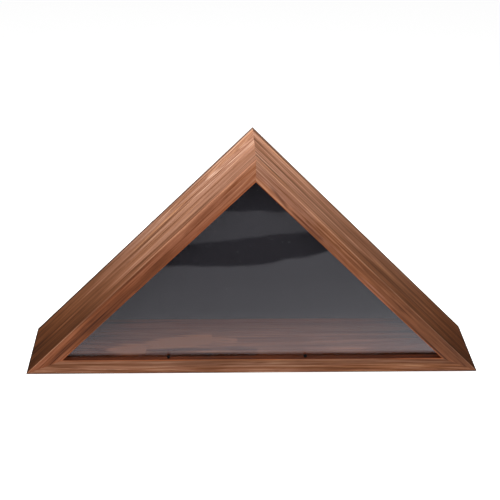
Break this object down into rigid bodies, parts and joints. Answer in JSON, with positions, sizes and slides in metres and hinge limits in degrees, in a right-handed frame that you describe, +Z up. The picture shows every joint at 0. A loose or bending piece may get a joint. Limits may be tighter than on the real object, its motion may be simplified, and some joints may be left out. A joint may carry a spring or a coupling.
{
  "type": "folded flag display case",
  "caption": "Triangular wooden case with a clear front and a felt-lined back panel held by turn buttons; displays a flag folded into a triangle, on a shelf or a wall.",
  "frame": {"origin": "on the surface that the case stands on, in the middle of its width and of its depth with the hardware on the back", "axes": "+X along the base to the viewer's right, +Y from the clear front to the back, +Z up to the apex"},
  "size_m": [0.45, 0.0982, 0.225],
  "materials": {
    "stained_pine": "satin stained",
    "clear_acrylic": "clear and glossy",
    "black_pin": "satin black",
    "black_felt": "matte napped felt",
    "raw_mdf": "matte raw fibreboard",
    "zinc_steel": "zinc plated"
  },
  "bodies": {
    "case": {"left_board": "stained_pine", "right_board": "stained_pine", "bottom_board": "stained_pine", "corner_v_nails": "zinc_steel", "front_acrylic": "clear_acrylic", "glazing_pins": "black_pin", "turn_button_screws": "zinc_steel", "left_hanger_strap": "zinc_steel", "right_hanger_strap": "zinc_steel", "hanger_screws": "zinc_steel"},
    "back": {"back_panel": "raw_mdf", "felt_lining": "black_felt"},
    "button_left_low": {"turn_button_left_low": "zinc_steel"},
    "button_left_high": {"turn_button_left_high": "zinc_steel"},
    "button_right_low": {"turn_button_right_low": "zinc_steel"},
    "button_right_high": {"turn_button_right_high": "zinc_steel"},
    "button_bottom_left": {"turn_button_bottom_left": "zinc_steel"},
    "button_bottom_right": {"turn_button_bottom_right": "zinc_steel"},
    "left_ring": {"left_hanger_ring": "zinc_steel"},
    "right_ring": {"right_hanger_ring": "zinc_steel"}
  },
  "joints": [
    {"name": "back_panel_pull", "type": "slide", "parent": "case", "child": "back", "axis": [0, 1, 0], "range_m": [0, 0.08]},
    {"name": "turn_button_left_low_swing", "type": "hinge", "parent": "case", "child": "button_left_low", "pos_m": [-0.16071, 0.04588, 0.05721], "axis": [0, -1, 0], "range_deg": [0, 90]},
    {"name": "turn_button_left_high_swing", "type": "hinge", "parent": "case", "child": "button_left_high", "pos_m": [-0.05496, 0.04588, 0.16296], "axis": [0, -1, 0], "range_deg": [0, 90]},
    {"name": "turn_button_right_low_swing", "type": "hinge", "parent": "case", "child": "button_right_low", "pos_m": [0.16071, 0.04588, 0.05721], "axis": [0, 1, 0], "range_deg": [0, 90]},
    {"name": "turn_button_right_high_swing", "type": "hinge", "parent": "case", "child": "button_right_high", "pos_m": [0.05496, 0.04588, 0.16296], "axis": [0, 1, 0], "range_deg": [0, 90]},
    {"name": "turn_button_bottom_left_swing", "type": "hinge", "parent": "case", "child": "button_bottom_left", "pos_m": [-0.1, 0.04588, 0.005], "axis": [0, 1, 0], "range_deg": [0, 90]},
    {"name": "turn_button_bottom_right_swing", "type": "hinge", "parent": "case", "child": "button_bottom_right", "pos_m": [0.1, 0.04588, 0.005], "axis": [0, -1, 0], "range_deg": [0, 90]},
    {"name": "left_ring_swing", "type": "hinge", "parent": "case", "child": "left_ring", "pos_m": [-0.09771, 0.0475, 0.12021], "axis": [0.7071, 0, -0.7071], "range_deg": [0, 180]},
    {"name": "right_ring_swing", "type": "hinge", "parent": "case", "child": "right_ring", "pos_m": [0.09771, 0.0475, 0.12021], "axis": [0.7071, 0, 0.7071], "range_deg": [0, 180]}
  ]
}
